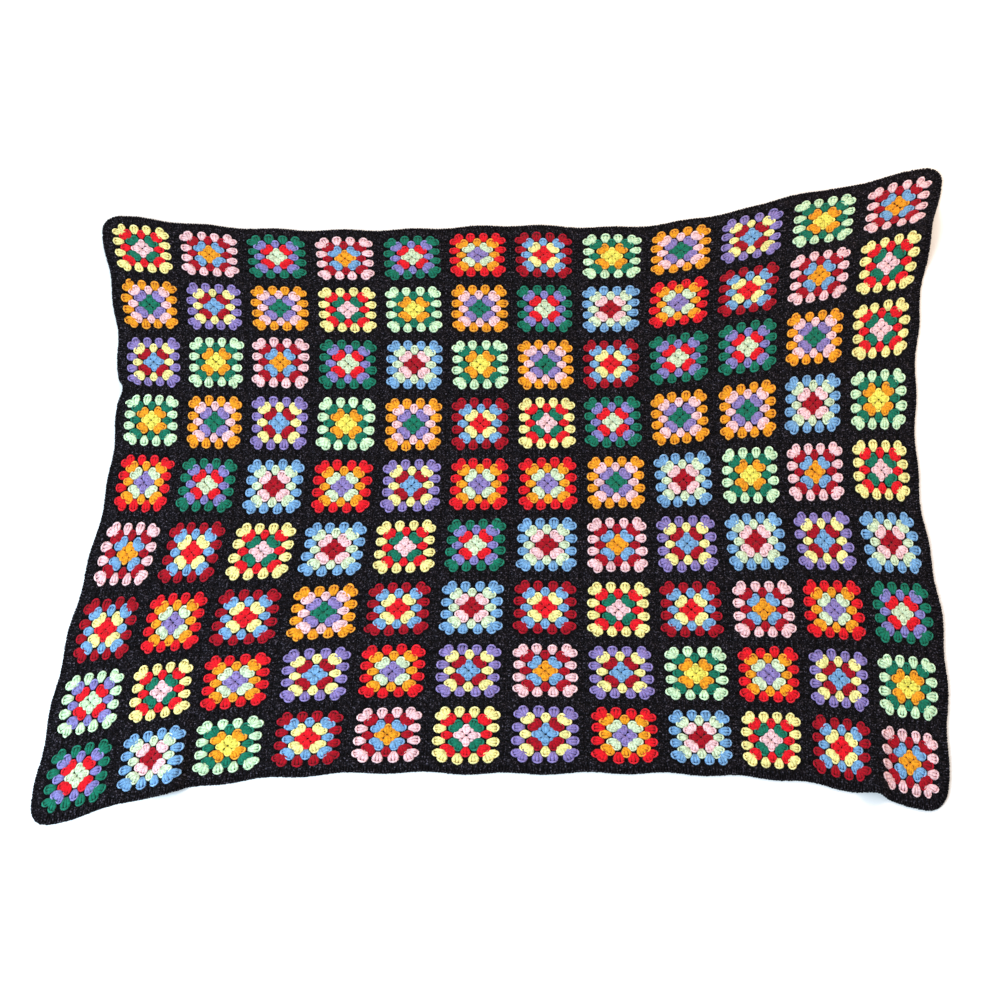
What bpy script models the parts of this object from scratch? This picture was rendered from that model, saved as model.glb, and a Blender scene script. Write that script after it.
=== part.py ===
"""Granny square blanket, laid out on a level surface in the folds it lies in.

The blanket is two pieces of crochet: the joined squares, 12 across and 9 along, and the edging
worked round all four sides of them. Both are cloth of one thickness, so each is an open surface
with a Solidify modifier, standing on its underside.

A place on the cloth is written as (across, along), counted in squares from the near left corner
of the joined squares. lay() says where that place lies, from the shifts and the folds below.

Units are metres, +X runs to the right, +Y away from the near side and +Z up. The origin is in
the middle of the blanket's outline, on the surface it lies on.
"""

from enum import Enum
from math import cos, hypot, pi, sin, tan
from typing import NamedTuple

import bmesh
import bpy
from mathutils import Vector

# Driving dimensions.
SQUARE = 0.120  # side of one square with its share of the joins
SQUARES_ACROSS = 12
SQUARES_ALONG = 9
THICKNESS = 0.005  # worked yarn, top to bottom
EDGING_WIDTH = 0.009
CORNER_RADIUS = 0.028  # of the joined squares, inside the edging
PIECE_GAP = 0.0005  # between the joined squares and the edging
SCALLOP = 0.002  # how far the outline swells at each square's middle
FACETS_PER_SQUARE = 3

MM = 0.001
EDGE_FADE = 1.0  # squares in from the edge over which the scallops die away
WELD_DISTANCE = 0.000001


class Shift(NamedTuple):
    """How far one line across the cloth has been pulled out of a true rectangle.

    along is the line's place in squares from the near edge. right and away hold the pull at each
    of STATIONS, from left to right, in millimetres.
    """

    along: float
    right: tuple
    away: tuple


STATIONS = (0, 2, 4, 6, 8, 10, 12)  # squares from the left edge, evenly spaced
SHIFTS = (
    Shift(0.00, right=(-30, -35, -25, -10, 5, -10, -40), away=(-70, -5, 20, 20, 20, 5, -45)),
    Shift(2.25, right=(-5, -25, -10, -5, 0, 0, -15), away=(-50, -25, -5, 0, -5, -5, -20)),
    Shift(4.50, right=(35, 15, 10, 5, 0, -10, -25), away=(-5, -15, -15, -10, -5, 10, 15)),
    Shift(6.75, right=(25, 10, 10, 5, 0, 10, 15), away=(-5, -5, -10, -10, -5, 40, 80)),
    Shift(9.00, right=(-35, -20, -5, 0, 15, 45, 95), away=(10, -20, -25, -15, -15, 45, 125)),
)


class Run(Enum):
    """How a fold's height runs from its start to its end."""

    FROM_EDGE = "full height at the start, dying away to nothing at the end"
    HILL = "dies away at both ends"


class Fold(NamedTuple):
    """One raised fold: a crest between two places, with its own slope on each side.

    start and end are (across, along) in squares. left and right are the widths of the slopes on
    the crest's two sides, seen from its start, and drawn is how far the crest is drawn towards
    the fold's end. Lengths are in millimetres.
    """

    name: str
    run: Run
    start: tuple
    end: tuple
    height: float
    left: float
    right: float
    drawn: float = 0.0


FOLDS = (
    Fold("near left wave", Run.FROM_EDGE, (1.82, -0.2), (1.93, 1.5), 22, 46, 27, -11),
    Fold("near right wave", Run.FROM_EDGE, (10.98, -0.2), (11.12, 1.7), 16, 36, 28),
    Fold("right side roll", Run.FROM_EDGE, (12.3, 7.9), (9.3, 7.6), 16, 80, 70),
    Fold("far side roll", Run.FROM_EDGE, (10.0, 9.3), (10.5, 6.9), 14, 60, 60),
    Fold("left pinch", Run.FROM_EDGE, (-0.2, 6.02), (0.9, 5.95), 9, 26, 26, 8),
    Fold("left swell", Run.HILL, (0.2, 4.9), (2.8, 3.0), 8, 90, 90),
    Fold("near swell", Run.HILL, (4.0, 0.9), (8.2, 0.6), 6, 80, 80),
    Fold("far swell", Run.HILL, (3.4, 8.3), (7.2, 8.1), 6, 70, 80),
    Fold("right swell", Run.HILL, (11.3, 5.8), (11.0, 2.4), 8, 80, 90),
)
# Places where the cloth turns over a short distance, so the facets are finer there.
FINE_ACROSS = (1.5, 1.75, 1.83, 1.92, 2.08, 2.17, 10.83, 10.92, 11.08, 11.17)
FINE_ALONG = (5.89, 6.11)


def curve_through(values, at):
    """The height at `at` of the smooth curve through evenly spaced values.

    at counts the gaps between the values. Past either end the curve goes on as straight as it
    was there.
    """
    first = min(max(int(at), 0), len(values) - 2)
    part = at - first
    before, after = values[max(first - 1, 0)], values[min(first + 2, len(values) - 1)]
    start, end = values[first], values[first + 1]
    if first == 0:
        before = 2 * start - end
    if first == len(values) - 2:
        after = 2 * end - start
    return 0.5 * (
        2 * start
        + (end - before) * part
        + (2 * before - 5 * start + 4 * end - after) * part**2
        + (3 * start - before - 3 * end + after) * part**3
    )


def shift_at(across, along, direction):
    """How far the cloth is pulled right or away at one place, in metres."""
    station = across / SQUARES_ACROSS * (len(STATIONS) - 1)
    line = along / SQUARES_ALONG * (len(SHIFTS) - 1)
    pulls = [curve_through(getattr(shift, direction), station) for shift in SHIFTS]
    return curve_through(pulls, line) * MM


def scallop_at(place, count, other, other_count):
    """How far the outline's swelling moves a place outward along one direction.

    place and count are the place and the number of squares in that direction, other and
    other_count those along the edge. The outline swells at the middle of each square.
    """
    from_middle = place - count / 2
    depth = count / 2 - abs(from_middle)
    fade = max(0.0, 1.0 - max(depth, 0.0) / EDGE_FADE)
    inside = min(max(other, 0.0), other_count)
    swell = -SCALLOP * cos(2 * pi * inside) * fade**2
    return swell if from_middle > 0 else -swell


def fold_lift(fold, across, along):
    """How far one fold moves the cloth's underside at one place."""
    run_x = (fold.end[0] - fold.start[0]) * SQUARE
    run_y = (fold.end[1] - fold.start[1]) * SQUARE
    length = hypot(run_x, run_y)
    from_x = (across - fold.start[0]) * SQUARE
    from_y = (along - fold.start[1]) * SQUARE
    share = (from_x * run_x + from_y * run_y) / length**2
    aside = (from_y * run_x - from_x * run_y) / length
    width = (fold.left if aside > 0 else fold.right) * MM
    if abs(aside) >= width or share >= 1:
        return Vector((0.0, 0.0, 0.0))
    if fold.run is Run.FROM_EDGE:
        along_run = cos(max(share, 0.0) * pi / 2) ** 2
    else:
        along_run = sin(max(share, 0.0) * pi) ** 2
    drawn_x, drawn_y = run_x / length * fold.drawn, run_y / length * fold.drawn
    crest = along_run * cos(aside / width * pi / 2) ** 2
    return Vector((drawn_x, drawn_y, fold.height)) * MM * crest


def lay(across, along):
    """Where a place on the cloth's underside lies."""
    x = (across - SQUARES_ACROSS / 2) * SQUARE + shift_at(across, along, "right")
    y = (along - SQUARES_ALONG / 2) * SQUARE + shift_at(across, along, "away")
    x += scallop_at(across, SQUARES_ACROSS, along, SQUARES_ALONG)
    y += scallop_at(along, SQUARES_ALONG, across, SQUARES_ACROSS)
    place = Vector((x, y, 0.0))
    for fold in FOLDS:
        place += fold_lift(fold, across, along)
    return place


def facet_lines(count, fine):
    """The places of the facet lines in one direction, from edge to edge."""
    lines = {step / FACETS_PER_SQUARE for step in range(count * FACETS_PER_SQUARE + 1)}
    radius = CORNER_RADIUS / SQUARE
    corner = (radius, radius * (1 - tan(pi / 8)))
    return sorted(lines | set(fine) | set(corner) | {count - place for place in corner})


def rounded(across, along):
    """A place of the square-cornered cloth, moved in so that the corners are round.

    Also gives the direction straight out of the cloth there, which is (0, 0) further in than the
    corners' radius.
    """
    radius = CORNER_RADIUS / SQUARE
    centre_x = min(max(across, radius), SQUARES_ACROSS - radius)
    centre_y = min(max(along, radius), SQUARES_ALONG - radius)
    out_x, out_y = across - centre_x, along - centre_y
    length = hypot(out_x, out_y)
    if length == 0:
        return (across, along), (0.0, 0.0)
    reach = max(abs(out_x), abs(out_y)) / length
    place = (centre_x + out_x * reach, centre_y + out_y * reach)
    return place, (out_x / length, out_y / length)


def border_walk():
    """The border of the joined squares, anticlockwise from the near left corner.

    Each item is a place and the direction straight out of the cloth there, both in squares.
    """
    across = facet_lines(SQUARES_ACROSS, FINE_ACROSS)
    along = facet_lines(SQUARES_ALONG, FINE_ALONG)
    border = [(place, 0) for place in across[:-1]]
    border += [(SQUARES_ACROSS, place) for place in along[:-1]]
    border += [(place, SQUARES_ALONG) for place in reversed(across[1:])]
    border += [(0, place) for place in reversed(along[1:])]
    return [rounded(*place) for place in border]


def outward_of(place, direction, distance):
    """The place a distance in metres straight out from a place on the border."""
    return (
        place[0] + direction[0] * distance / SQUARE,
        place[1] + direction[1] * distance / SQUARE,
    )


def middle_of_outline():
    """The middle of the box round the laid blanket's outline, on the surface."""
    points = [lay(*outward_of(*step, EDGING_WIDTH)) for step in border_walk()]
    low_x, high_x = min(p.x for p in points), max(p.x for p in points)
    low_y, high_y = min(p.y for p in points), max(p.y for p in points)
    return Vector(((low_x + high_x) / 2, (low_y + high_y) / 2, 0.0))


def yarn_material(name, colour, roughness):
    """A plain Principled material."""
    material = bpy.data.materials.new(name)
    material.use_nodes = True
    shader = material.node_tree.nodes["Principled BSDF"]
    shader.inputs["Base Color"].default_value = (*colour, 1.0)
    shader.inputs["Roughness"].default_value = roughness
    shader.inputs["Metallic"].default_value = 0.0
    return material


def cloth_object(name, mesh, material, collection):
    """An object of one thickness of cloth, from the surface of its underside."""
    piece = bpy.data.objects.new(name, mesh)
    mesh.materials.append(material)
    mesh.shade_smooth()
    collection.objects.link(piece)
    solidify = piece.modifiers.new("Thickness", "SOLIDIFY")
    solidify.thickness = THICKNESS
    solidify.offset = 1.0
    return piece


def grid_mesh(name, columns, rows, place_of):
    """A mesh from a grid primitive, with place_of(column, row) saying where each point goes."""
    grid = bmesh.new()
    bmesh.ops.create_grid(grid, x_segments=columns, y_segments=rows, size=1.0)
    for point in grid.verts:
        column = round((point.co.x + 1) / 2 * columns)
        row = round((point.co.y + 1) / 2 * rows)
        point.co = place_of(column, row)
    bmesh.ops.remove_doubles(grid, verts=grid.verts, dist=WELD_DISTANCE)
    bmesh.ops.recalc_face_normals(grid, faces=grid.faces)
    if sum(face.normal.z for face in grid.faces) < 0:
        bmesh.ops.reverse_faces(grid, faces=grid.faces)
    mesh = bpy.data.meshes.new(name)
    grid.to_mesh(mesh)
    grid.free()
    return mesh


def joined_squares(middle, material, collection):
    """The squares, joined into one cloth with round corners."""
    across = facet_lines(SQUARES_ACROSS, FINE_ACROSS)
    along = facet_lines(SQUARES_ALONG, FINE_ALONG)

    def place_of(column, row):
        place, _ = rounded(across[column], along[row])
        return lay(*place) - middle

    mesh = grid_mesh("joined_squares", len(across) - 1, len(along) - 1, place_of)
    return cloth_object("joined_squares", mesh, material, collection)


def edging(middle, material, collection):
    """The round of edging, as a closed strip outside the border of the joined squares."""
    walk = border_walk()

    def place_of(column, row):
        distance = EDGING_WIDTH if row == 0 else PIECE_GAP
        return lay(*outward_of(*walk[column % len(walk)], distance)) - middle

    mesh = grid_mesh("edging", len(walk), 1, place_of)
    return cloth_object("edging", mesh, material, collection)


def main():
    """Clear the scene and build the blanket."""
    for leftover in list(bpy.data.objects):
        bpy.data.objects.remove(leftover)
    collection = bpy.data.collections.new("granny_square_blanket")
    bpy.context.scene.collection.children.link(collection)
    middle = middle_of_outline()
    joined_squares(middle, yarn_material("joined_yarn", (0.16, 0.05, 0.07), 0.9), collection)
    edging(middle, yarn_material("black_yarn", (0.01, 0.01, 0.013), 0.9), collection)


main()
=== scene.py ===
"""Granny square blanket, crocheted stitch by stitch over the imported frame.

Every stitch is first drawn flat, in millimetres from the near left corner of the joined squares.
LaidCloth then lays it: it holds the same pulls and folds as the frame's two solids, so whatever
is drawn flat comes to lie in the space that those solids hold.

A granny square is four coloured rounds of treble clusters, three trebles to a cluster, and a
fifth round in black. The squares are joined by a chain, and a round of trebles edges them all.

Units are metres in the scene and millimetres in the tables. +X runs to the right, +Y away from
the near side and +Z up.
"""

import logging
from collections.abc import Iterable
from dataclasses import dataclass, field, replace
from enum import Enum
from math import cos, pi, radians, sin
from typing import Any, NamedTuple

import bpy
import numpy as np
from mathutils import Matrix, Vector


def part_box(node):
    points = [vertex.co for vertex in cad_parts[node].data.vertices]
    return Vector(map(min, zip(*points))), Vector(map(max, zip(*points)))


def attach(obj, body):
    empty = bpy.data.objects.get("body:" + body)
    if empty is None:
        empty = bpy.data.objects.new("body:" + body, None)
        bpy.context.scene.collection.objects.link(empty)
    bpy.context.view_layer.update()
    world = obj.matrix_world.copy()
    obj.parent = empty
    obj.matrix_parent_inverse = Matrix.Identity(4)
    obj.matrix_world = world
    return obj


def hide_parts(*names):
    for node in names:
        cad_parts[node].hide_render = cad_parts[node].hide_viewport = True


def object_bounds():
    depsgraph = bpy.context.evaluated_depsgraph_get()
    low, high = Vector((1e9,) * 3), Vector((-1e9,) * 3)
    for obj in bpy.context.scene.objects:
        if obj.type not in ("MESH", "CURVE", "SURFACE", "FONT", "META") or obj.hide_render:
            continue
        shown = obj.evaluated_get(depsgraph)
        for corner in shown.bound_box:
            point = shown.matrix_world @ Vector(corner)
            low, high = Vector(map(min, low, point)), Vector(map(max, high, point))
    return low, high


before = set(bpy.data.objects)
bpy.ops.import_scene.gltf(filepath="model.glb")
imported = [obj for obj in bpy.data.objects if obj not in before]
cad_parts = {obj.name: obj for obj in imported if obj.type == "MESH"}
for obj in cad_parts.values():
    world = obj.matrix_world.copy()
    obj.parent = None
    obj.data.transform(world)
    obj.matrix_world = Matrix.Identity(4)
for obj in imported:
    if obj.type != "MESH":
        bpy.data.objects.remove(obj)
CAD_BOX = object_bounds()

Array = np.ndarray
Pair = tuple[float, float]
Point = tuple[float, float, float]

LOG = logging.getLogger("granny_square_blanket")

# Driving dimensions, the same as the frame's.
SQUARE = 120.0  # side of one square with its share of the joins
SQUARES_ACROSS = 12
SQUARES_ALONG = 9
SQUARES = np.array([SQUARES_ACROSS, SQUARES_ALONG])
THICKNESS = 5.0  # worked yarn, top to bottom
EDGING_WIDTH = 9.0
CORNER_RADIUS = 28.0
SCALLOP = 2.0
EDGE_FADE = 1.0  # squares in from the edge over which the scallops die away

MM = 0.001
SEED = 7
BODY = "root"
FLAT_MAP = "OFBake"  # name of the map that lays each piece out as seen from above
FLAT_MARGIN = 0.02  # metres round the blanket on that map
TINY = 1e-9  # the least length to divide by


# ---- the cloth as it lies


class Shift(NamedTuple):
    """How far one line across the cloth has been pulled out of a true rectangle.

    along is the line's place in squares from the near edge, and the lines are evenly spaced.
    right and away hold the pull at each of STATIONS, from left to right, in millimetres.
    """

    along: float
    right: tuple[float, ...]
    away: tuple[float, ...]


STATIONS = (0, 2, 4, 6, 8, 10, 12)  # squares from the left edge, evenly spaced
SHIFTS = (
    Shift(0.00, right=(-30, -35, -25, -10, 5, -10, -40), away=(-70, -5, 20, 20, 20, 5, -45)),
    Shift(2.25, right=(-5, -25, -10, -5, 0, 0, -15), away=(-50, -25, -5, 0, -5, -5, -20)),
    Shift(4.50, right=(35, 15, 10, 5, 0, -10, -25), away=(-5, -15, -15, -10, -5, 10, 15)),
    Shift(6.75, right=(25, 10, 10, 5, 0, 10, 15), away=(-5, -5, -10, -10, -5, 40, 80)),
    Shift(9.00, right=(-35, -20, -5, 0, 15, 45, 95), away=(10, -20, -25, -15, -15, 45, 125)),
)


class Run(Enum):
    """How a fold's height runs from its start to its end."""

    FROM_EDGE = "full height at the start, dying away to nothing at the end"
    HILL = "dies away at both ends"


class Fold(NamedTuple):
    """One raised fold: a crest between two places, with its own slope on each side.

    start and end are (across, along) in squares. left and right are the widths of the slopes on
    the crest's two sides, seen from its start, and drawn is how far the crest is drawn towards
    the fold's end. Lengths are in millimetres.
    """

    name: str
    run: Run
    start: Pair
    end: Pair
    height: float
    left: float
    right: float
    drawn: float = 0.0


FOLDS = (
    Fold("near left wave", Run.FROM_EDGE, (1.82, -0.2), (1.93, 1.5), 22, 46, 27, -11),
    Fold("near right wave", Run.FROM_EDGE, (10.98, -0.2), (11.12, 1.7), 16, 36, 28),
    Fold("right side roll", Run.FROM_EDGE, (12.3, 7.9), (9.3, 7.6), 16, 80, 70),
    Fold("far side roll", Run.FROM_EDGE, (10.0, 9.3), (10.5, 6.9), 14, 60, 60),
    Fold("left pinch", Run.FROM_EDGE, (-0.2, 6.02), (0.9, 5.95), 9, 26, 26, 8),
    Fold("left swell", Run.HILL, (0.2, 4.9), (2.8, 3.0), 8, 90, 90),
    Fold("near swell", Run.HILL, (4.0, 0.9), (8.2, 0.6), 6, 80, 80),
    Fold("far swell", Run.HILL, (3.4, 8.3), (7.2, 8.1), 6, 70, 80),
    Fold("right swell", Run.HILL, (11.3, 5.8), (11.0, 2.4), 8, 80, 90),
)


def curve_weights(count: int, at: Array) -> Array:
    """Say how much each of a row of values counts on the smooth curve through them.

    Args:
        count: how many evenly spaced values the curve goes through.
        at: places on the curve, counted in gaps between the values.

    Returns:
        One row of weights for each place. Past either end the curve goes on straight.
    """
    first = np.clip(at.astype(int), 0, count - 2)
    part = at - first
    # The usual weights of a curve through four points, for a place between the inner two.
    before = 0.5 * (-part + 2 * part**2 - part**3)
    start = 0.5 * (2 - 5 * part**2 + 3 * part**3)
    end = 0.5 * (part + 4 * part**2 - 3 * part**3)
    after = 0.5 * (part**3 - part**2)
    weights = np.zeros((len(at), count + 2))
    rows = np.arange(len(at))
    for step, share in enumerate((before, start, end, after)):
        weights[rows, first + step] += share
    weights[:, 1] += 2 * weights[:, 0]
    weights[:, 2] -= weights[:, 0]
    weights[:, -2] += 2 * weights[:, -1]
    weights[:, -3] -= weights[:, -1]
    return weights[:, 1:-1]


@dataclass
class LaidCloth:
    """The blanket's cloth, pulled and folded as it lies.

    Its places are rows of two numbers, across and along, in squares from the near left corner of
    the joined squares.
    """

    normal_step: float = 0.02  # squares between the places that give the cloth's slope
    outline_steps: int = 4000  # places round the outline that give its middle
    origin: Array = field(init=False)

    def __post_init__(self) -> None:
        """Move the cloth so that its outline has its middle where the frame's has."""
        self.origin = np.zeros(3)
        border = BorderPath()
        walked = np.linspace(0.0, border.length, self.outline_steps, endpoint=False)
        outline = self.underside(border.places(walked, EDGING_WIDTH))
        low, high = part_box("edging")
        middle = (np.array(low) + np.array(high)) / 2
        self.origin = middle - (outline.min(axis=0) + outline.max(axis=0)) / 2
        self.origin[2] = 0.0

    def pulled(self, places: Array) -> Array:
        """Say how far the cloth is pulled right and away.

        Args:
            places: places on it.

        Returns:
            Their rows of x and y, in metres.
        """
        at = places / (STATIONS[1] - STATIONS[0], SHIFTS[1].along - SHIFTS[0].along)
        station = curve_weights(len(STATIONS), at[:, 0])
        line = curve_weights(len(SHIFTS), at[:, 1])
        pulls = np.array([(shift.right, shift.away) for shift in SHIFTS], float)
        return np.einsum("pl,lds,ps->pd", line, pulls, station) * MM

    def scalloped(self, places: Array) -> Array:
        """Say how far the outline's swelling moves the cloth.

        Args:
            places: places on it.

        Returns:
            Their rows of x and y, in metres.
        """
        from_middle = places - SQUARES / 2
        depth = np.maximum(SQUARES / 2 - np.abs(from_middle), 0.0)
        fade = np.maximum(0.0, 1.0 - depth / EDGE_FADE)
        along_edge = np.clip(places, 0, SQUARES)[:, ::-1]
        swell = -SCALLOP * MM * np.cos(2 * pi * along_edge) * fade**2
        return np.where(from_middle > 0, swell, -swell)

    def lifted(self, fold: Fold, places: Array) -> Array:
        """Say how far one fold moves the cloth's underside.

        Args:
            fold: the fold.
            places: places on the cloth.

        Returns:
            Their rows of x, y and z, in metres.
        """
        to_m = SQUARE * MM
        run = (np.array(fold.end) - fold.start) * to_m
        gone = (places - fold.start) * to_m
        length = np.linalg.norm(run)
        share = np.clip(gone @ run / length**2, 0, 1) * pi
        aside = (gone[:, 1] * run[0] - gone[:, 0] * run[1]) / length
        width = np.where(aside > 0, fold.left, fold.right) * MM
        height = np.cos(share / 2) ** 2 if fold.run is Run.FROM_EDGE else np.sin(share) ** 2
        height *= np.cos(np.clip(aside / width, -1, 1) * pi / 2) ** 2
        return height[:, None] * np.append(run / length * fold.drawn, fold.height) * MM

    def underside(self, places: Array) -> Array:
        """Say where places on the cloth's underside lie.

        Args:
            places: places on it.

        Returns:
            Their rows of x, y and z, in metres.
        """
        moved = (places - SQUARES / 2) * SQUARE * MM + self.pulled(places) + self.scalloped(places)
        moved = np.insert(moved, 2, 0.0, 1)
        for fold in FOLDS:
            moved += self.lifted(fold, places)
        return moved + self.origin

    def surface(self, places: Array, height: Array) -> Array:
        """Say where points above the cloth's underside lie.

        Args:
            places: places on it.
            height: heights above it, square to the cloth, in millimetres.

        Returns:
            Their rows of x, y and z, in metres.
        """
        under = self.underside(places)
        to_right = self.underside(places + (self.normal_step, 0.0)) - under
        to_far = self.underside(places + (0.0, self.normal_step)) - under
        up = np.cross(to_right, to_far)
        up /= np.linalg.norm(up, axis=1)[:, None]
        return under + up * height[:, None] * MM

    def lay(self, flat: Array) -> Array:
        """Lay points drawn flat, as rows of x, y and height in millimetres."""
        return self.surface(self.rounded(flat[:, :2] / SQUARE), flat[:, 2])

    @staticmethod
    def rounded(places: Array) -> Array:
        """Move places of a square-cornered cloth in, so that its corners are round.

        Args:
            places: the places.

        Returns:
            The moved places.
        """
        radius = CORNER_RADIUS / SQUARE
        centre = np.clip(places, radius, SQUARES - radius)
        out = places - centre
        reach = np.abs(out).max(axis=1) / np.maximum(np.linalg.norm(out, axis=1), TINY)
        return centre + out * reach[:, None]


@dataclass(frozen=True)
class BorderPath:
    """The round-cornered border of the joined squares, walked anticlockwise, in millimetres."""

    radius: float = CORNER_RADIUS

    @property
    def sides(self) -> tuple[float, ...]:
        """The lengths of the straight sides, from the near one."""
        wide, deep = SQUARES * SQUARE - 2 * self.radius
        return wide, deep, wide, deep

    @property
    def arc(self) -> float:
        """The length of one round corner."""
        return pi / 2 * self.radius

    @property
    def length(self) -> float:
        """The length of the whole border."""
        return sum(self.sides) + 4 * self.arc

    def places(self, walked: Array, out: Array | float) -> Array:
        """Find places by how far round the border they are and how far outside it.

        Args:
            walked: distance walked from the near side's left end.
            out: distance straight out of the cloth.

        Returns:
            Places on the cloth, in squares.
        """
        walked = np.mod(walked, self.length)[:, None]
        out = np.broadcast_to(out, len(walked))[:, None]
        place = np.zeros((len(walked), 2))
        begun = 0.0
        start, head = np.array([self.radius, 0.0]), np.array([1.0, 0.0])
        for length in self.sides:
            right = np.array([head[1], -head[0]])
            gone = walked - begun
            straight = start + head * gone + right * out
            place = np.where((gone >= 0) & (gone < length), straight, place)
            begun += length
            gone = walked - begun
            turn = gone / self.radius
            centre = start + head * length - right * self.radius
            curved = centre + (self.radius + out) * (right * np.cos(turn) + head * np.sin(turn))
            place = np.where((gone >= 0) & (gone < self.arc), curved, place)
            begun += self.arc
            start, head = centre + head * self.radius, -right
        return place / SQUARE


# ---- yarns and materials

NOISE_RANGE = (0.3, 0.7)  # nearly all values of a noise lie between these


class ShaderGraph:
    """A material's nodes, with short ways to add and join them."""

    def __init__(self, name: str) -> None:
        """Start a material with its Principled shader.

        Args:
            name: the material's name.
        """
        self.material = bpy.data.materials.new(name)
        self.material.use_nodes = True
        self.nodes = self.material.node_tree.nodes
        self.links = self.material.node_tree.links
        self.shader = self.nodes["Principled BSDF"]

    def add(
        self, kind: str, inputs: dict[int | str, Any], output: int | str = 0, **settings: Any
    ) -> bpy.types.NodeSocket:
        """Add a node.

        Args:
            kind: the node's type.
            inputs: a value, or another node's output, for each input named.
            output: the output wanted.
            settings: the node's own settings.

        Returns:
            The output socket.
        """
        node = self.nodes.new(kind)
        for name, value in settings.items():
            setattr(node, name, value)
        for key, value in inputs.items():
            self.feed(node.inputs[key], value)
        return node.outputs[output]

    def feed(self, socket: bpy.types.NodeSocket, value: Any) -> None:
        """Join a value or another node's output to an input.

        Args:
            socket: the input.
            value: a value, or a node's output.
        """
        if isinstance(value, bpy.types.NodeSocket):
            self.links.new(value, socket)
        else:
            socket.default_value = value

    def maths(self, operation: str, *values: Any) -> bpy.types.NodeSocket:
        """Add a Math node."""
        return self.add("ShaderNodeMath", dict(enumerate(values)), operation=operation)

    def between(self, value: Any, old: Pair, new: Pair) -> Any:
        """Map a value smoothly from its old range to a new one."""
        inputs = dict(enumerate((value, *old, *new)))
        return self.add("ShaderNodeMapRange", inputs, interpolation_type="SMOOTHSTEP")

    def mixed(self, share: Any, first: Any, second: Any, blend: str = "MIX") -> Any:
        """Mix two colours, which the Mix node takes at its inputs 6 and 7 and gives at 2."""
        inputs = {0: share, 6: first, 7: second}
        return self.add("ShaderNodeMix", inputs, 2, data_type="RGBA", blend_type=blend)

    def noise(self, where: Any, size: float, detail: float = 2.0) -> Any:
        """Add a noise with blots of that many millimetres."""
        inputs = {"Vector": where, "Scale": 1 / (size * MM), "Detail": detail}
        return self.add("ShaderNodeTexNoise", inputs)

    def attribute(self, name: str) -> list[bpy.types.NodeSocket]:
        """Read the three numbers that a mesh carries under a name."""
        vector = self.add("ShaderNodeAttribute", {}, "Vector", attribute_name=name)
        return list(self.add("ShaderNodeSeparateXYZ", {0: vector}).node.outputs)

    def finish(self, inputs: dict[str, Any]) -> bpy.types.Material:
        """Feed the shader's inputs.

        Args:
            inputs: a value, or a node's output, for each input named.

        Returns:
            The material.
        """
        for name, value in inputs.items():
            self.feed(self.shader.inputs[name], value)
        return self.material


def linear(shade: str) -> tuple[float, float, float, float]:
    """Turn a screen's colour into a shader's, by the screens' usual curve.

    Args:
        shade: a colour such as "#f8b4c0".

    Returns:
        Its linear red, green and blue, and 1 for a solid colour.
    """
    parts = [int(shade[at : at + 2], 16) / 255 for at in (1, 3, 5)]
    red, green, blue = (
        part / 12.92 if part <= 0.04045 else ((part + 0.055) / 1.055) ** 2.4 for part in parts
    )
    return red, green, blue, 1.0


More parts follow.
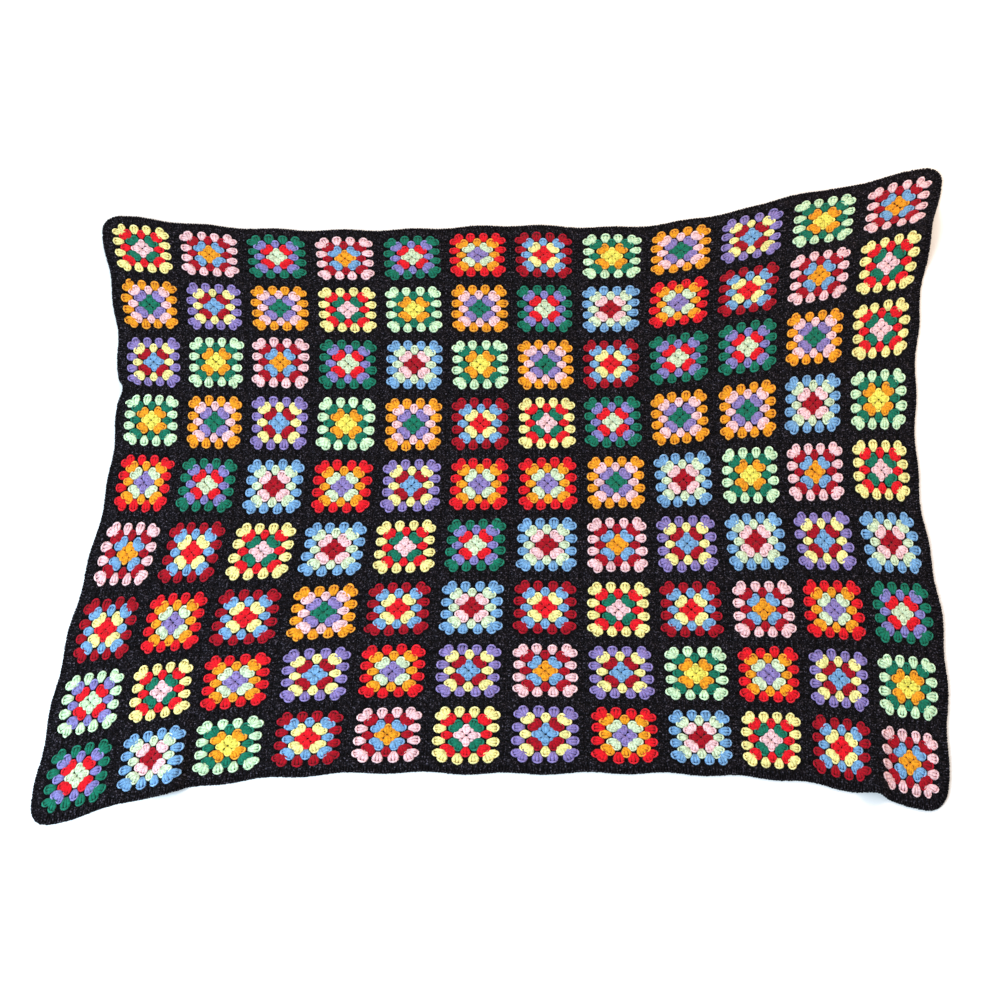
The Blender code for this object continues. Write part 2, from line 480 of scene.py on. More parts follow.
@dataclass(frozen=True)
class YarnFinish:
    """One yarn: a soft plied double-knitting yarn in one dye.

    colour is the yarn in full light, and deep is painted shade: the same yarn darkened where it
    lies low between the stitches. fluff is the loose fibres, lighter in themselves and painted with
    a sheen where they catch the light. Lengths are in millimetres.
    """

    slot: str
    colour: str
    # painted shade: the colour that the yarn is darkened to where it lies low between the stitches
    deep: str
    fluff_sheen: str
    lit_heights: Pair = (0.35, 0.98)  # in the cloth, from the painted shade of deep to full colour
    fluff_sheen_share: float = 0.35
    fluff_sheen_fibres: Pair = (0.52, 0.78)  # the fibre noise that shows as lighter fibres with painted sheen
    sheen: float = 0.12
    sheen_roughness: float = 0.45
    gloss: float = 0.18
    roughness: Pair = (0.78, 0.95)
    ply_pitch: float = 2.1
    ply_lean: float = 0.30
    ply_round: float = 0.8  # where across a ply's swell it comes to full light
    ply_shade: Pair = (0.72, 1.04)  # between two plies, and on one
    fibre_size: float = 0.55
    fibre_relief: float = 0.5  # as a share of the plies' relief
    blot_size: float = 3.0
    blot_range: Pair = (0.66, 1.18)
    bump: float = 0.5
    bump_height: float = 0.5

    def material(self) -> bpy.types.Material:
        """Make the yarn's material.

        Returns:
            A material that reads the mesh's "strand" (across, along, start of the twist) and
            "stitch" (height in the cloth, tone, bloom).
        """
        graph = ShaderGraph(self.slot)
        across, along, start = graph.attribute("strand")
        height, tone, bloom = graph.attribute("stitch")
        where = graph.add("ShaderNodeTexCoord", {}, "Object")
        twist = graph.maths("MULTIPLY_ADD", along, pi / self.ply_pitch, start)
        twist = graph.maths("MULTIPLY_ADD", across, pi * self.ply_lean, twist)
        ply = graph.maths("ABSOLUTE", graph.maths("SINE", twist))
        fibre = graph.noise(where, self.fibre_size, detail=3.0)
        blots = graph.noise(where, self.blot_size)
        # Painted shade: low in the cloth the yarn is mixed towards its deep colour.
        lit = graph.between(height, self.lit_heights, (0.0, 1.0))
        colour = graph.mixed(lit, linear(self.deep), linear(self.colour))
        # Painted sheen: the loose fibres are lightened towards the fluff colour, most where the
        # cloth stands high and where bloom asks for it.
        loose = graph.between(fibre, self.fluff_sheen_fibres, (0.0, self.fluff_sheen_share))
        loose = graph.maths("ADD", graph.maths("MULTIPLY", loose, lit), bloom)
        colour = graph.mixed(loose, colour, linear(self.fluff_sheen))
        ply_shade = graph.between(ply, (0.0, self.ply_round), self.ply_shade)
        blot_shade = graph.between(blots, NOISE_RANGE, self.blot_range)
        shade = graph.maths("MULTIPLY", blot_shade, graph.maths("MULTIPLY", ply_shade, tone))
        relief = graph.maths("MULTIPLY_ADD", fibre, self.fibre_relief, ply)
        bump = {"Strength": self.bump, "Distance": self.bump_height * MM, "Height": relief}
        return graph.finish(
            {
                "Base Color": graph.mixed(1.0, colour, shade, "MULTIPLY"),
                "Roughness": graph.between(fibre, NOISE_RANGE, self.roughness),
                "Normal": graph.add("ShaderNodeBump", bump),
                "Sheen Weight": self.sheen,
                "Sheen Roughness": self.sheen_roughness,
                "Specular IOR Level": self.gloss,
            }
        )


class Yarn(Enum):
    """The yarns that the blanket is worked in."""

    # Each yarn: its colour, its painted shade low between the stitches, and its lighter loose
    # fibres with painted sheen.
    PALE_YELLOW = YarnFinish("yarn_pale_yellow", "#fcf7a1", "#c89835", "#fdf7c6")
    SUN_YELLOW = YarnFinish("yarn_sun_yellow", "#f9f063", "#c49211", "#f9f5a9")
    ORANGE = YarnFinish("yarn_orange", "#f8a41b", "#b14e08", "#fabf64")
    RED = YarnFinish("yarn_red", "#ed0e20", "#81030e", "#f64154")
    DARK_RED = YarnFinish("yarn_dark_red", "#ab011b", "#4d010c", "#c5183c")
    PINK = YarnFinish("yarn_pink", "#fcd0d6", "#be707c", "#fce5e6")
    MINT = YarnFinish("yarn_mint", "#d8f8cc", "#69a379", "#e9fadf")
    PALE_LIME = YarnFinish("yarn_pale_lime", "#daedc9", "#92a36d", "#e8f3dd")
    GREEN = YarnFinish("yarn_green", "#0c765c", "#033729", "#35997f")
    BLUE = YarnFinish("yarn_blue", "#7aaddb", "#325c92", "#a6c7e9")
    PURPLE = YarnFinish("yarn_purple", "#9180c1", "#45397a", "#aea1d7")
    LILAC = YarnFinish("yarn_lilac", "#8a84c7", "#403a7d", "#aba5df")
    BLACK = YarnFinish(
        slot="yarn_black",
        colour="#0f0c10",
        # painted shade low between the stitches
        deep="#070608",
        # lighter loose fibres with painted sheen, strong on the black yarn
        fluff_sheen="#6c6674",
        fluff_sheen_share=0.8,
        sheen=0.02,
        ply_pitch=5.0,
        ply_lean=0.26,
        fibre_size=2.5,
        blot_size=3.6,
        blot_range=(0.35, 1.7),
        gloss=0.06,
    )
    EDGING_BLACK = replace(BLACK, slot="yarn_edging")


# ---- stitches as meshes


class Ring(NamedTuple):
    """One ring round a stitch.

    share is its place from foot to top. half_width and height are in millimetres, and bow says
    how much of its stitch's distance aside of the cluster's middle line it stands off there.
    """

    share: float
    half_width: float
    height: float
    bow: float = 1.0


class Corner(NamedTuple):
    """One corner of a stitch's cross-section: shares of the half width and of the height."""

    aside: float
    up: float


class Sway(NamedTuple):
    """How far stitches stray by hand: shares, and millimetres for their tops."""

    width: float
    rise: float
    tone: float = 0.0
    top: float = 0.0


ROUND_SECTION = (
    Corner(-1.0, 0.42),
    Corner(-0.55, 0.94),
    Corner(0.55, 0.94),
    Corner(1.0, 0.42),
    Corner(0.0, 0.06),
)
ARCHED_SECTION = (Corner(-1.0, 0.42), Corner(-0.5, 1.0), Corner(0.5, 1.0), Corner(1.0, 0.42))
FLAT_SECTION = (Corner(-1.0, 0.50), Corner(-0.45, 1.0), Corner(0.45, 1.0), Corner(1.0, 0.50))


@dataclass(frozen=True)
class StitchShape:
    """The shape that all stitches of one kind share: rings from foot to top."""

    rings: tuple[Ring, ...]
    section: tuple[Corner, ...]
    sway: Sway

    def faces(self, count: int) -> list[Array]:
        """List the faces of that many stitches.

        Args:
            count: number of stitches, one after the other.

        Returns:
            The four-sided faces round them and the faces that close their two ends.
        """
        sides, rings = len(self.section), len(self.rings)
        first = np.arange(count)[:, None] * sides * rings
        ring = np.arange(rings - 1)[:, None] * sides
        beyond = ring + sides
        here, after = np.arange(sides), (np.arange(sides) + 1) % sides
        around = np.stack([ring + here, ring + after, beyond + after, beyond + here], -1)
        around = first[:, :, None] + around.reshape(1, -1, 4)
        foot = first + here[::-1]
        top = first + (rings - 1) * sides + here
        return [around.reshape(-1, 4), np.concatenate([foot, top])]


def headings(foot: Array, top: Array) -> tuple[Array, Array, Array]:
    """Find how stitches run.

    Args:
        foot: where each starts.
        top: where each ends.

    Returns:
        Their lengths, the ways that they run and the ways to their right.
    """
    length = np.linalg.norm(top - foot, axis=1)
    ahead = (top - foot) / length[:, None]
    return length, ahead, np.stack([ahead[:, 1], -ahead[:, 0]], -1)


@dataclass
class Stitches:
    """Stitches of one shape, drawn flat. Each array has one row for each stitch.

    foot and top are flat places in millimetres. aside is how far a stitch bows to the right of
    the line from foot to top, and cut how far it stops short of the top. width and rise scale
    the shape's widths and heights, and tone the yarn's colour. bloom is the share of loose fibres
    that catch the light, lightened as painted sheen.
    """

    shape: StitchShape
    foot: Array
    top: Array
    aside: Array
    cut: Array
    width: Array
    rise: Array
    tone: Array
    bloom: float = 0.0

    @classmethod
    def by_hand(
        cls,
        shape: StitchShape,
        ends: tuple[Array, Array],
        rng: np.random.Generator,
        aside: Array | float = 0.0,
        cut: Array | float = 0.0,
        tone: Array | float = 1.0,
        bloom: float = 0.0,
    ) -> "Stitches":
        """Work stitches by hand, each a little different.

        Args:
            shape: the shape that they share.
            ends: their feet and their tops.
            rng: the source of the straying.
            aside: how far they bow to the right.
            cut: how far they stop short of their tops.
            tone: their tone before any straying.
            bloom: their share of loose fibres that catch the light, lightened as painted sheen.

        Returns:
            The stitches.
        """
        foot, top = ends
        sway, count = shape.sway, len(foot)
        if sway.top:
            top = top + rng.normal(0, sway.top, (count, 2))
        width = rng.normal(1, sway.width, count)
        rise = rng.normal(1, sway.rise, count)
        if sway.tone:
            tone = tone * rng.normal(1, sway.tone, count)
        aside, cut, tone = (np.full(count, value) for value in (aside, cut, tone))
        return cls(shape, foot, top, aside, cut, width, rise, tone, bloom)

    def drawn(self, rng: np.random.Generator) -> Array:
        """Draw the stitches.

        Args:
            rng: the source of the places where their yarns' twists start.

        Returns:
            One row for each corner of each ring: x, y and height, then the numbers that the
            material reads. They are the place across and along the yarn and the start of its
            twist, and the height in the cloth from 0 to 1, the tone and the bloom.
        """
        share, half_width, height, bow = np.array(self.shape.rings).T
        aside, up = np.array(self.shape.section).T
        length, ahead, right = headings(self.foot, self.top)
        gone = (length - self.cut)[:, None] * share
        bowed = self.aside[:, None] * bow
        line = self.foot[:, None] + ahead[:, None] * gone[..., None]
        line = line + right[:, None] * bowed[..., None]
        sideways = half_width[:, None] * aside
        spread = self.width[:, None, None, None] * right[:, None, None] * sideways[..., None]
        high = self.rise[:, None, None] * height[:, None] * up
        columns = (
            *np.moveaxis(line[:, :, None] + spread, -1, 0),
            high,
            sideways,
            length[:, None, None] * share[:, None],
            rng.uniform(0, 2 * pi, len(length))[:, None, None],
            # height in the cloth, which the material turns into painted shade low down
            np.clip(high / THICKNESS, 0, 1),
            self.tone[:, None, None],
            self.bloom,
        )
        return np.stack(np.broadcast_arrays(*columns), -1).reshape(-1, len(columns))


def joined(lots: Iterable[Stitches]) -> list[Stitches]:
    """Put together the lots of stitches that share a shape.

    Args:
        lots: lots of any shapes.

    Returns:
        One lot for each shape, in the order in which the shapes first come.
    """
    alike: dict[StitchShape, list[Stitches]] = {}
    for lot in lots:
        alike.setdefault(lot.shape, []).append(lot)
    names = ("foot", "top", "aside", "cut", "width", "rise", "tone")
    whole = []
    for shape, same in alike.items():
        rows = (np.concatenate([getattr(lot, name) for lot in same]) for name in names)
        whole.append(Stitches(shape, *rows, bloom=same[0].bloom))
    return whole


def new_object(name: str, data: bpy.types.ID) -> bpy.types.Object:
    """Put something in the scene.

    Args:
        name: its name.
        data: its mesh, lamp or camera.

    Returns:
        The object.
    """
    thing = bpy.data.objects.new(name, data)
    bpy.context.scene.collection.objects.link(thing)
    return thing


def new_piece(
    name: str, points: Array, faces: Iterable[Array], numbers: Array, yarn: Yarn
) -> bpy.types.Object:
    """Make a piece of the blanket and let it ride on the frame.

    Args:
        name: the piece's name.
        points: laid points, in metres.
        faces: arrays of faces, each of one number of corners.
        numbers: for each point the six numbers that the material reads.
        yarn: the yarn it is worked in.

    Returns:
        The piece.
    """
    corners = np.concatenate([part.reshape(-1) for part in faces])
    sizes = np.concatenate([np.full(len(part), part.shape[1]) for part in faces])
    mesh = bpy.data.meshes.new(name)
    mesh.vertices.add(len(points))
    mesh.vertices.foreach_set("co", points.astype(np.float32).ravel())
    mesh.loops.add(len(corners))
    mesh.loops.foreach_set("vertex_index", corners.astype(np.int32))
    mesh.polygons.add(len(sizes))
    mesh.polygons.foreach_set("loop_start", (np.cumsum(sizes) - sizes).astype(np.int32))
    mesh.update(calc_edges=True)
    mesh.shade_smooth()
    for label, values in zip(("strand", "stitch"), np.split(numbers, 2, axis=1)):
        store = mesh.attributes.new(label, "FLOAT_VECTOR", "POINT")
        store.data.foreach_set("vector", values.astype(np.float32).ravel())
    add_flat_map(mesh, points, corners, sizes)
    mesh.materials.append(yarn.value.material())
    piece = new_object(name, mesh)
    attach(piece, BODY)
    LOG.info("%s: %d points, %d faces", name, len(points), len(sizes))
    return piece


def add_flat_map(mesh: bpy.types.Mesh, points: Array, corners: Array, sizes: Array) -> None:
    """Give a mesh a map of itself seen from above, with its underside in a strip of its own.

    Args:
        mesh: the mesh.
        points: its points, in metres.
        corners: the point at each corner of its faces.
        sizes: how many corners each face has.
    """
    low, high = (np.array(corner) for corner in CAD_BOX)
    span = (high - low)[0] + 2 * FLAT_MARGIN
    place = (points[:, :2] - low[:2] + FLAT_MARGIN) / span
    share = (high[1] - low[1] + 2 * FLAT_MARGIN) / span
    facing = np.empty(len(sizes) * 3, np.float32)
    mesh.polygons.foreach_get("normal", facing)
    under = np.repeat(facing.reshape(-1, 3)[:, 2] < 0, sizes)
    place = place[corners]
    place[under, 1] = share + place[under, 1] / share * (1.0 - share)
    layer = mesh.uv_layers.new(name=FLAT_MAP)
    layer.data.foreach_set("uv", place.astype(np.float32).ravel())


def stitched_piece(
    name: str, lots: Iterable[Stitches], cloth: LaidCloth, yarn: Yarn, rng: np.random.Generator
) -> bpy.types.Object:
    """Lay stitches on the cloth and make them one piece.

    Args:
        name: the piece's name.
        lots: its stitches.
        cloth: the cloth that they are laid on.
        yarn: the yarn that they are worked in.
        rng: the source of their yarn's twist.

    Returns:
        The piece.
    """
    rows, faces, begun = [], [], 0
    for lot in joined(lots):
        rows.append(lot.drawn(rng))
        faces += [part + begun for part in lot.shape.faces(len(lot.foot))]
        begun += len(rows[-1])
    drawn = np.concatenate(rows)
    return new_piece(name, cloth.lay(drawn[:, :3]), faces, drawn[:, 3:], yarn)


# ---- the squares


class Round(NamedTuple):
    """One round of a square: where its clusters are worked, in millimetres from its middle.

    Each place is (along the side, out from the middle). spread and drop are how far the outer
    trebles' tops stand aside of and below the middle one's. side lists the clusters between the
    corners by their places along the side, and they run out from foot to top. A corner holds two
    clusters, the one on this side from corner_foot to corner_top and its mirror image on the
    next side.
    """

    spread: float
    drop: float
    side: tuple[float, ...] = ()
    foot: float = 0.0
    top: float = 0.0
    corner_foot: Pair | None = None
    corner_top: Pair | None = None


# From the middle out.
COLOURED_ROUNDS = (
    Round(4.3, 0.6, side=(0.0,), foot=1.4, top=20.6),
    Round(5.3, 0.6, corner_foot=(9.2, 10.4), corner_top=(14.8, 28.6)),
    Round(5.3, 0.6, (0.0,), 20.9, 40.0, (20.0, 21.0), (27.3, 39.0)),
    Round(5.7, 0.6, (-11.8, 11.8), 30.9, 51.6, (30.3, 30.8), (37.3, 51.2)),
)
BLACK_ROUND = Round(7.2, 0.4, (-23.3, 0.0, 23.3), 42.5, 60.5, (41.6, 42.2), (51.0, 60.4))


class Design(Enum):
    """The four colours of a square, from its middle out, by the letter that the chart uses."""

    A = (Yarn.PINK, Yarn.GREEN, Yarn.RED, Yarn.PALE_YELLOW)
    B = (Yarn.ORANGE, Yarn.BLUE, Yarn.DARK_RED, Yarn.PINK)
    C = (Yarn.PALE_LIME, Yarn.RED, Yarn.LILAC, Yarn.GREEN)
    D = (Yarn.GREEN, Yarn.PURPLE, Yarn.PINK, Yarn.ORANGE)
    E = (Yarn.BLUE, Yarn.DARK_RED, Yarn.PALE_YELLOW, Yarn.PURPLE)
    F = (Yarn.SUN_YELLOW, Yarn.ORANGE, Yarn.GREEN, Yarn.MINT)
    G = (Yarn.PURPLE, Yarn.PALE_LIME, Yarn.ORANGE, Yarn.RED)
    H = (Yarn.RED, Yarn.PALE_YELLOW, Yarn.BLUE, Yarn.DARK_RED)
    I = (Yarn.DARK_RED, Yarn.PINK, Yarn.PALE_LIME, Yarn.BLUE)
    J = (Yarn.MINT, Yarn.RED, Yarn.LILAC, Yarn.MINT)


# One letter for each square, the far row first and each row from left to right.
CHART = (
    "ABCBCGHFDEFB",
    "DEDAFDCIGHBA",
    "EFBCIFDHCCDA",
    "FDEFDHACDDIF",
    "GCIGEGGDIFBA",
    "BHAIACIBEIEI",
    "HGHDHIHAHBGC",
    "JAGEGEBEFGEF",
    "CIFHBAEGIAHB",
)


class Clusters(NamedTuple):
    """Clusters as they are worked: one row or number for each, in millimetres."""

    foot: Array
    top: Array
    spread: Array
    tone: Array


def turned(places: Array, angle: Array | float) -> Array:
    """Turn places anticlockwise.

    Args:
        places: rows of x and y.
        angle: one angle for all, or one for each, in radians.

    Returns:
        The places turned.
    """
    x, y = places[:, 0], places[:, 1]
    wide, high = np.cos(angle), np.sin(angle)
    return np.stack([x * wide - y * high, x * high + y * wide], -1)


def quarter_turned(places: Array) -> Array:
    """Repeat places on one of a square's sides on its other three sides."""
    return np.concatenate([turned(places, -side * pi / 2) for side in range(4)])


@dataclass
class GrannySquares:
    """All the squares: their coloured rounds, and the black round that ends each of them.

    Lengths are in millimetres. The sways and turns say how far hand work strays.
    """

    cloth: LaidCloth
    rng: np.random.Generator
    treble: StitchShape = StitchShape(
        rings=(
            Ring(0.00, 2.0, 3.8, 0.30),
            Ring(0.28, 3.1, 4.8, 0.70),
            Ring(0.54, 3.6, 5.0, 0.98),
            Ring(0.77, 2.7, 3.4, 0.90),
            Ring(0.92, 2.2, 2.6, 0.50),
        ),
        section=ARCHED_SECTION,
        sway=Sway(0.05, 0.03, 0.025, 0.25),
    )
    cap: StitchShape = StitchShape(
        rings=(
            Ring(0.00, 1.4, 3.0, 0.00),
            Ring(0.20, 1.9, 4.4, 0.72),
            Ring(0.50, 2.1, 4.8, 1.00),
            Ring(0.80, 1.9, 4.4, 0.72),
            Ring(1.00, 1.4, 3.0, 0.00),
        ),
        section=ARCHED_SECTION,
        sway=Sway(0.06, 0.03),
    )
    corner_chain: StitchShape = StitchShape(
        rings=(Ring(0.0, 3.4, 3.8, 0.0), Ring(0.5, 4.0, 4.5, 1.0), Ring(1.0, 3.4, 3.8, 0.0)),
        section=ARCHED_SECTION,
        sway=Sway(0.06, 0.03, 0.032),
    )
    black_treble: StitchShape = StitchShape(
        rings=(
            Ring(0.00, 2.2, 2.2, 0.15),
            Ring(0.35, 3.0, 3.2, 0.55),
            Ring(0.56, 4.1, 4.6, 0.95),
            Ring(1.00, 3.9, 3.9, 1.00),
        ),
        section=FLAT_SECTION,
        sway=Sway(0.05, 0.03, 0.025, 0.25),
    )
    trebles_in_cluster: int = 3
    cap_reach: float = 1.42  # a cap's half span, as a share of its cluster's spread
    cap_bow: float = 4.4  # how far a cap's middle stands above its ends
    cap_below: float = 2.1  # how far a cap's middle line runs below the cluster's top
    # painted highlight: the caps are drawn lighter, and with more lightened fibres, for the light
    # rims on the clusters' tops
    cap_highlight: float = 1.08
    cap_sheen_bloom: float = 0.22
    chain_end: Pair = (5.4, 11.4)  # where a first-round corner's chain starts
    chain_bow: float = 0.5
    chain_tone: float = 0.94
    corner_spread: float = 0.93  # the clusters in a corner are squeezed to this share
    square_sway: float = 0.4
    square_turn: float = 0.6  # degrees
    cluster_sway: float = 0.45
    cluster_turn: float = 2.0  # degrees
    size_sway: float = 0.025  # of a cluster, as a share
    tone_sway: float = 0.03  # of a cluster, as a share
    bow_sway: float = 0.08  # of a cap, as a share

    def clusters(self, row: Round) -> tuple[Array, Array, Array]:
        """Draw one round's clusters round a square's middle.

        Args:
            row: the round.

        Returns:
            The clusters' feet, their tops, and whether each stands in a corner.
        """
        feet = [(place, row.foot) for place in row.side]
        tops = [(place, row.top) for place in row.side]
        if row.corner_foot and row.corner_top:
            for hand in (-1, 1):
                feet.append((hand * row.corner_foot[0], row.corner_foot[1]))
                tops.append((hand * row.corner_top[0], row.corner_top[1]))
        in_corner = np.arange(len(feet)) >= len(row.side)
        return quarter_turned(np.array(feet)), quarter_turned(np.array(tops)), np.tile(in_corner, 4)

    def worked(self, row: Round, middle: Array, turn: float) -> Clusters:
        """Work one round's clusters by hand in one square, straying a little from the drawing.

        Args:
            row: the round.
            middle: where the square's middle is.
            turn: how far the square is turned, in radians.

        Returns:
            The clusters.
        """
        foot, top, in_corner = self.clusters(row)
        count = len(foot)
        run = turned(top - foot, np.radians(self.rng.normal(0, self.cluster_turn, count)))
        size = self.rng.normal(1, self.size_sway, count)
        foot = foot + self.rng.normal(0, self.cluster_sway, (count, 2))
        top = foot + run * size[:, None]
        spread = row.spread * np.where(in_corner, self.corner_spread, 1.0) * size
        tone = self.rng.normal(1, self.tone_sway, count)
        return Clusters(turned(foot, turn) + middle, turned(top, turn) + middle, spread, tone)

    def trebles(self, clusters: Clusters, shape: StitchShape, drop: float) -> Stitches:
        """Draw the trebles of clusters.

        Args:
            clusters: the clusters.
            shape: the shape of a treble.
            drop: how far the outer trebles' tops stand below the middle one's.

        Returns:
            The trebles.
        """
        each = self.trebles_in_cluster
        place = np.arange(each) - (each - 1) / 2
        return Stitches.by_hand(
            shape,
            (np.repeat(clusters.foot, each, axis=0), np.repeat(clusters.top, each, axis=0)),
            self.rng,
            aside=(place[None, :] * clusters.spread[:, None]).ravel(),
            cut=np.tile(np.abs(place) * drop, len(clusters.foot)),
            tone=np.repeat(clusters.tone, each),
        )

    def caps(self, clusters: Clusters) -> Stitches:
        """Draw the chain of loops over the top of each cluster, which rounds it off.

        Args:
            clusters: the clusters.

        Returns:
            One bowed loop of yarn for each cluster.
        """
        ahead, right = headings(clusters.foot, clusters.top)[1:]
        half = right * (clusters.spread * self.cap_reach)[:, None]
        middle = clusters.top - ahead * (self.cap_below + self.cap_bow)
        return Stitches.by_hand(
            self.cap,
            (middle - half, middle + half),
            self.rng,
            aside=-self.cap_bow * self.rng.normal(1, self.bow_sway, len(half)),
            # the caps carry the painted highlight of the clusters' rims
            tone=clusters.tone * self.cap_highlight,
            bloom=self.cap_sheen_bloom,
        )

    def corner_chains(self, middle: Array, turn: float) -> Stitches:
        """Draw the chains that fill the corners of a first round.

        Args:
            middle: where the square's middle is.
            turn: how far the square is turned, in radians.

        Returns:
            One chain for each corner.
        """
        start = quarter_turned(np.array([self.chain_end]))
        end = quarter_turned(np.array([self.chain_end[::-1]]))
        return Stitches.by_hand(
            self.corner_chain,
            (turned(start, turn) + middle, turned(end, turn) + middle),
            self.rng,
            aside=-self.chain_bow,
            tone=self.chain_tone,
        )

    def build(self) -> list[bpy.types.Object]:
        """Work every square.

        Returns:
            One piece for each coloured yarn, then the black rounds.
        """
        black_rounds = {
            "black_sides": BLACK_ROUND._replace(corner_foot=None, corner_top=None),
            "black_corners": BLACK_ROUND._replace(side=()),
        }
        coloured: dict[Yarn, list[Stitches]] = {yarn: [] for yarn in Yarn}
        black: dict[str, list[Stitches]] = {name: [] for name in black_rounds}
        for row, letters in enumerate(reversed(CHART)):
            for column, letter in enumerate(letters):
                middle = np.array([column + 0.5, row + 0.5]) * SQUARE
                moved = middle + self.rng.normal(0, self.square_sway, 2)
                turn = radians(self.rng.normal(0, self.square_turn))
                yarns = Design[letter].value
                for step, yarn in zip(COLOURED_ROUNDS, yarns):
                    clusters = self.worked(step, moved, turn)
                    coloured[yarn].append(self.trebles(clusters, self.treble, step.drop))
                    coloured[yarn].append(self.caps(clusters))
                coloured[yarns[0]].append(self.corner_chains(moved, turn))
                for name, step in black_rounds.items():
                    clusters = self.worked(step, middle, 0.0)
                    black[name].append(self.trebles(clusters, self.black_treble, step.drop))
        pieces = []
        for yarn, lots in coloured.items():
            if lots:
                name = f"clusters_{yarn.name.lower()}"
                pieces.append(stitched_piece(name, lots, self.cloth, yarn, self.rng))
        for name, lots in black.items():
            pieces.append(stitched_piece(name, lots, self.cloth, Yarn.BLACK, self.rng))
        return pieces


@dataclass
class GroundAndHoleShade:
    """The thin dark sheet: the chains and the trebles' feet, and painted shade in the holes."""

    cloth: LaidCloth
    under: float = 1.6  # height of its underside, in millimetres
    over: float = 2.6
    facets: int = 8  # in the side of a square
    fine_facets: int = 24  # the same where the cloth turns over a short distance
    fine_across: tuple[Pair, ...] = ((1.375, 2.25), (10.625, 11.375))
    fine_along: tuple[Pair, ...] = ((5.75, 6.25),)
    reach: float = 7.0  # how far it goes under the edging
    stitch: Point = (0.5, 0.8, 0.0)  # height in the cloth, tone and bloom, low and dark for painted shade

    def lines(self, squares: int, fine: tuple[Pair, ...]) -> Array:
        """Place the facets' lines in one direction.

        Args:
            squares: the number of squares in that direction.
            fine: the stretches with fine facets, in squares.

        Returns:
            The lines' places in millimetres, from edge to edge.
        """
        lines = [np.arange(squares * self.facets + 1) / self.facets]
        for start, end in fine:
            steps = np.arange(start * self.fine_facets, end * self.fine_facets)
            lines.append(steps / self.fine_facets)
        inside = np.unique(np.concatenate(lines)) * SQUARE
        return np.concatenate([[-self.reach], inside, [squares * SQUARE + self.reach]])

    def build(self) -> bpy.types.Object:
        """Make the ground as a closed thin sheet.

        Returns:
            The ground.
        """
        x = self.lines(SQUARES_ACROSS, self.fine_across)
        y = self.lines(SQUARES_ALONG, self.fine_along)
        flat = np.stack(np.meshgrid(x, y), -1).reshape(-1, 2)
        flat = np.concatenate([np.insert(flat, 2, self.over, 1), np.insert(flat, 2, self.under, 1)])
        index = np.arange(len(x) * len(y)).reshape(len(y), len(x))
        top = np.stack([index[:-1, :-1], index[:-1, 1:], index[1:, 1:], index[1:, :-1]], -1)
        top = top.reshape(-1, 4)
        edge = np.concatenate([index[0, :-1], index[:-1, -1], index[-1, :0:-1], index[:0:-1, 0]])
        after = np.roll(edge, -1)
        below = index.size
        wall = np.stack([edge, edge + below, after + below, after], -1)
        faces = [np.concatenate([top, top[:, ::-1] + below, wall])]
        strand = np.insert(flat[:, :2], 2, 0.0, 1)
        numbers = np.hstack([strand, np.tile(self.stitch, (len(flat), 1))])
        return new_piece("ground", self.cloth.lay(flat), faces, numbers, Yarn.BLACK)


@dataclass
class Seams:
    """The chain that joins neighbouring squares, along every line between them."""

    cloth: LaidCloth
    rng: np.random.Generator
    loops_to_square: int = 22
    weave: float = 0.7  # how far the loops stand to either side of the line, in millimetres
    loop: StitchShape = StitchShape(
        rings=(Ring(-0.1, 1.1, 3.4), Ring(0.5, 2.3, 5.0), Ring(1.1, 1.1, 3.4)),
        section=FLAT_SECTION,
        sway=Sway(0.06, 0.03, 0.06),
    )

    def line(self, start: Pair, heading: Pair, squares: int) -> Stitches:
        """Draw the loops of one join.

        Args:
            start: where the join starts, in squares.
            heading: the way that it runs.
            squares: its length in squares.

        Returns:
            The loops.
        """
        count = squares * self.loops_to_square
        step = SQUARE / self.loops_to_square
        ahead = np.array(heading)
        aside = np.array([ahead[1], -ahead[0]])
        foot = np.array(start) * SQUARE + np.arange(count)[:, None] * step * ahead
        side = np.where(np.arange(count) % 2, self.weave, -self.weave)[:, None] * aside
        ends = (foot - side, foot + ahead * step + side)
        return Stitches.by_hand(self.loop, ends, self.rng)

    def build(self) -> bpy.types.Object:
        """Make every join as one piece.

        Returns:
            The joins.
        """
        lines = []
        for column in range(1, SQUARES_ACROSS):
            lines.append(self.line((column, 0.0), (0.0, 1.0), SQUARES_ALONG))
        for row in range(1, SQUARES_ALONG):
            lines.append(self.line((0.0, row), (1.0, 0.0), SQUARES_ACROSS))
        return stitched_piece("seams", lines, self.cloth, Yarn.BLACK, self.rng)


@dataclass
class Edging:
    """The round of trebles that edges the blanket. Lengths are in millimetres."""

    cloth: LaidCloth
    rng: np.random.Generator
    pitch: float = 4.4
    inset: float = 2.5  # how far inside the joined squares the trebles start
    treble: StitchShape = StitchShape(
        rings=(
            Ring(0.00, 1.7, 3.2),
            Ring(0.30, 2.1, 4.6),
            Ring(0.62, 1.9, 4.1),
            Ring(0.84, 2.5, 5.0),
            Ring(1.00, 1.9, 3.0),
        ),
        section=ROUND_SECTION,
        sway=Sway(0.05, 0.03, 0.06, 0.25),
    )

    def build(self) -> bpy.types.Object:
        """Make the edging as one piece, in the place of the frame's edging.

        Returns:
            The edging.
        """
        path = BorderPath()
        count = round(path.length / self.pitch)
        walked = -np.arange(count) * path.length / count
        foot = np.stack([walked, np.full(count, -self.inset)], -1)
        top = np.stack([walked, np.full(count, EDGING_WIDTH)], -1)
        stitches = Stitches.by_hand(self.treble, (foot, top), self.rng)
        drawn = stitches.drawn(self.rng)
        laid = self.cloth.surface(path.places(-drawn[:, 0], drawn[:, 1]), drawn[:, 2])
        faces = stitches.shape.faces(count)
        return new_piece("edging_trebles", laid, faces, drawn[:, 3:], Yarn.EDGING_BLACK)


# ---- the studio


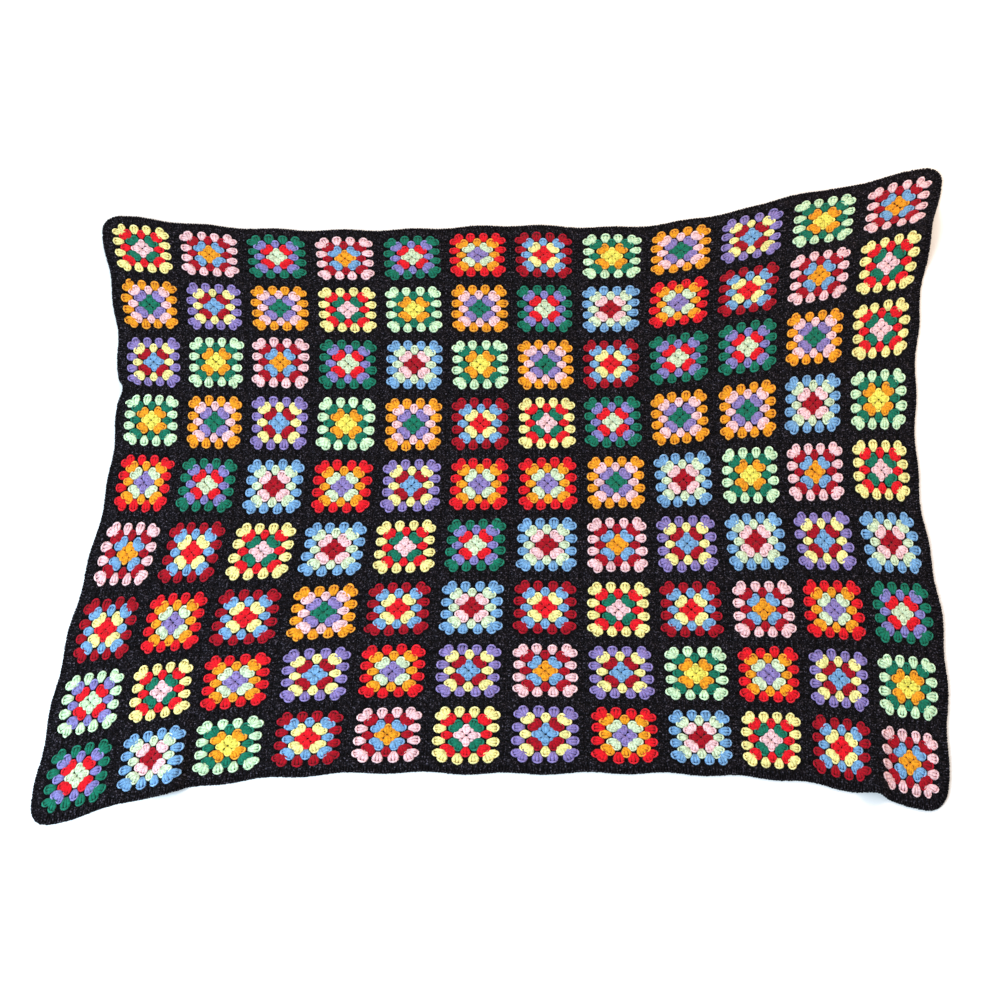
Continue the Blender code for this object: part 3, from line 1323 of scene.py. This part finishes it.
@dataclass(frozen=True)
class Lamp:
    """A square soft lamp, aimed at a point on the floor. Lengths are in metres."""

    name: str
    place: Point
    aim: Point
    size: float
    power: float
    colour: str


@dataclass
class Studio:
    """A pale floor, soft light and the camera. Lengths are in metres."""

    floor_side: float = 14.0
    floor_drop: float = 0.0003  # how far the floor is below the blanket's underside
    floor_colour: str = "#fbfbfb"
    floor_roughness: float = 0.9
    floor_gloss: float = 0.1
    sky: float = 0.64
    camera_target: Point = (-0.0478, -0.0670, 0.0)
    camera_distance: float = 2.99
    camera_elevation: float = 62.9
    camera_angle: float = 32.0
    camera_sight: float = 50.0  # how far the camera sees
    lamps: tuple[Lamp, ...] = (
        Lamp("key", (-2.2, -1.7, 2.1), (-0.3, -0.2, 0.0), 1.5, 122.0, "#d6eeff"),
        Lamp("fill", (1.8, 1.9, 2.3), (0.3, 0.2, 0.0), 2.0, 62.0, "#ffdab4"),
    )

    def build(self) -> None:
        """Set up floor, lamps and camera."""
        self.build_floor()
        for lamp in self.lamps:
            self.build_lamp(lamp)
        self.build_sky()
        self.build_camera()

    def build_floor(self) -> None:
        """Lay the floor just under the blanket."""
        half = self.floor_side / 2
        mesh = bpy.data.meshes.new("floor")
        corners = [(-half, -half, 0.0), (half, -half, 0.0), (half, half, 0.0), (-half, half, 0.0)]
        mesh.from_pydata(corners, [], [(0, 1, 2, 3)])
        inputs = {
            "Base Color": linear(self.floor_colour),
            "Roughness": self.floor_roughness,
            "Specular IOR Level": self.floor_gloss,
        }
        mesh.materials.append(ShaderGraph("floor").finish(inputs))
        floor = new_object("floor", mesh)
        floor.location.z = -self.floor_drop

    def build_lamp(self, lamp: Lamp) -> None:
        """Hang one soft lamp.

        Args:
            lamp: the lamp.
        """
        light = bpy.data.lights.new(lamp.name, "AREA")
        light.size = lamp.size
        light.energy = lamp.power
        light.color = linear(lamp.colour)[:3]
        holder = new_object(lamp.name, light)
        holder.location = lamp.place
        heading = Vector(lamp.aim) - Vector(lamp.place)
        holder.rotation_euler = heading.to_track_quat("-Z", "Y").to_euler()

    def build_sky(self) -> None:
        """Light the scene evenly from all round."""
        world = bpy.data.worlds.new("studio")
        world.use_nodes = True
        background = world.node_tree.nodes["Background"]
        background.inputs["Color"].default_value = (1.0, 1.0, 1.0, 1.0)
        background.inputs["Strength"].default_value = self.sky
        bpy.context.scene.world = world
        bpy.context.scene.view_settings.view_transform = "Standard"

    def build_camera(self) -> None:
        """Place the camera in front of the near side, looking down at the blanket."""
        camera = bpy.data.cameras.new("camera")
        camera.angle = radians(self.camera_angle)
        camera.clip_end = self.camera_sight
        holder = new_object("camera", camera)
        rise = radians(self.camera_elevation)
        back = Vector((0.0, -cos(rise), sin(rise))) * self.camera_distance
        holder.location = Vector(self.camera_target) + back
        holder.rotation_euler = (-back).to_track_quat("-Z", "Y").to_euler()
        bpy.context.scene.camera = holder


def main() -> None:
    """Build the blanket piece by piece, then the studio round it."""
    logging.basicConfig(level=logging.INFO, format="%(message)s")
    rng = np.random.default_rng(SEED)
    cloth = LaidCloth()
    LOG.info("cloth laid, with %s", ", ".join(fold.name for fold in FOLDS))
    ground = GroundAndHoleShade(cloth).build()
    squares = GrannySquares(cloth, rng).build()
    seams = Seams(cloth, rng).build()
    edging = Edging(cloth, rng).build()
    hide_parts("joined_squares")
    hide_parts("edging")
    Studio().build()


if __name__ == "__main__":
    main()
